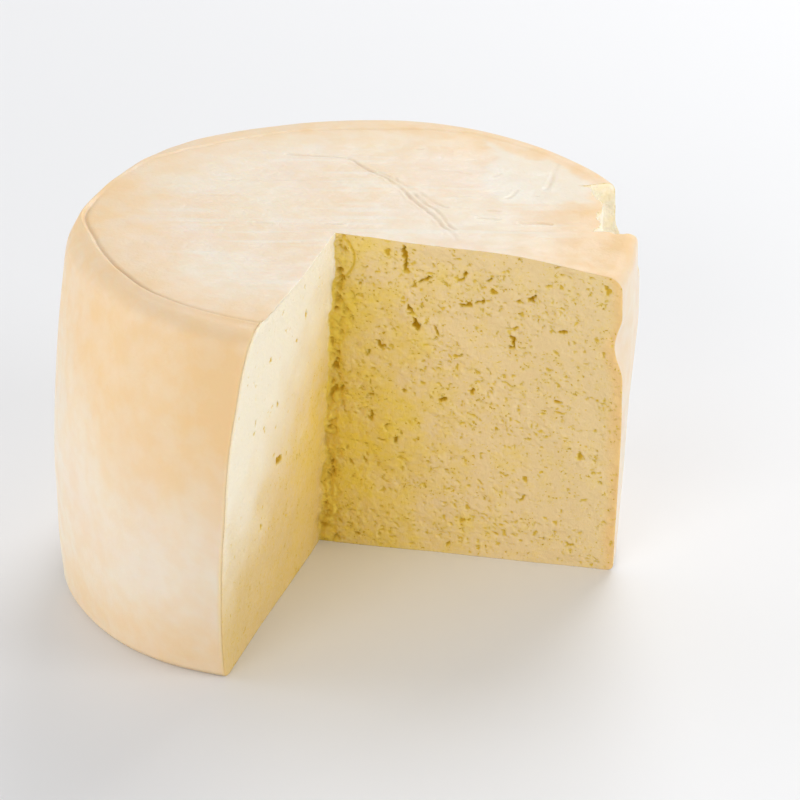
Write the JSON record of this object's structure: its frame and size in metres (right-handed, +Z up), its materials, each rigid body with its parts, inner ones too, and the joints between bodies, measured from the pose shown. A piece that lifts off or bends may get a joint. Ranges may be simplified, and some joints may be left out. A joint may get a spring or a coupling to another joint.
{
  "type": "cheese wheel",
  "caption": "Tall drum-shaped ripened cheese wheel with a smooth pale rind and one quarter wedge cut out, showing the porous paste.",
  "frame": {"origin": "on the surface the wheel rests on, below the middle of its bounding box", "axes": "+Z up; the cut-out quarter lies between the +X and -Y directions, so one cut face looks along +X and the other along -Y"},
  "size_m": [0.2314, 0.2302, 0.1496],
  "materials": {
    "cheese": "smooth satin pale rind outside, softly scattering porous paste on the two cut faces"
  },
  "bodies": {
    "root": {"cheese_wheel": "cheese"}
  },
  "joints": []
}
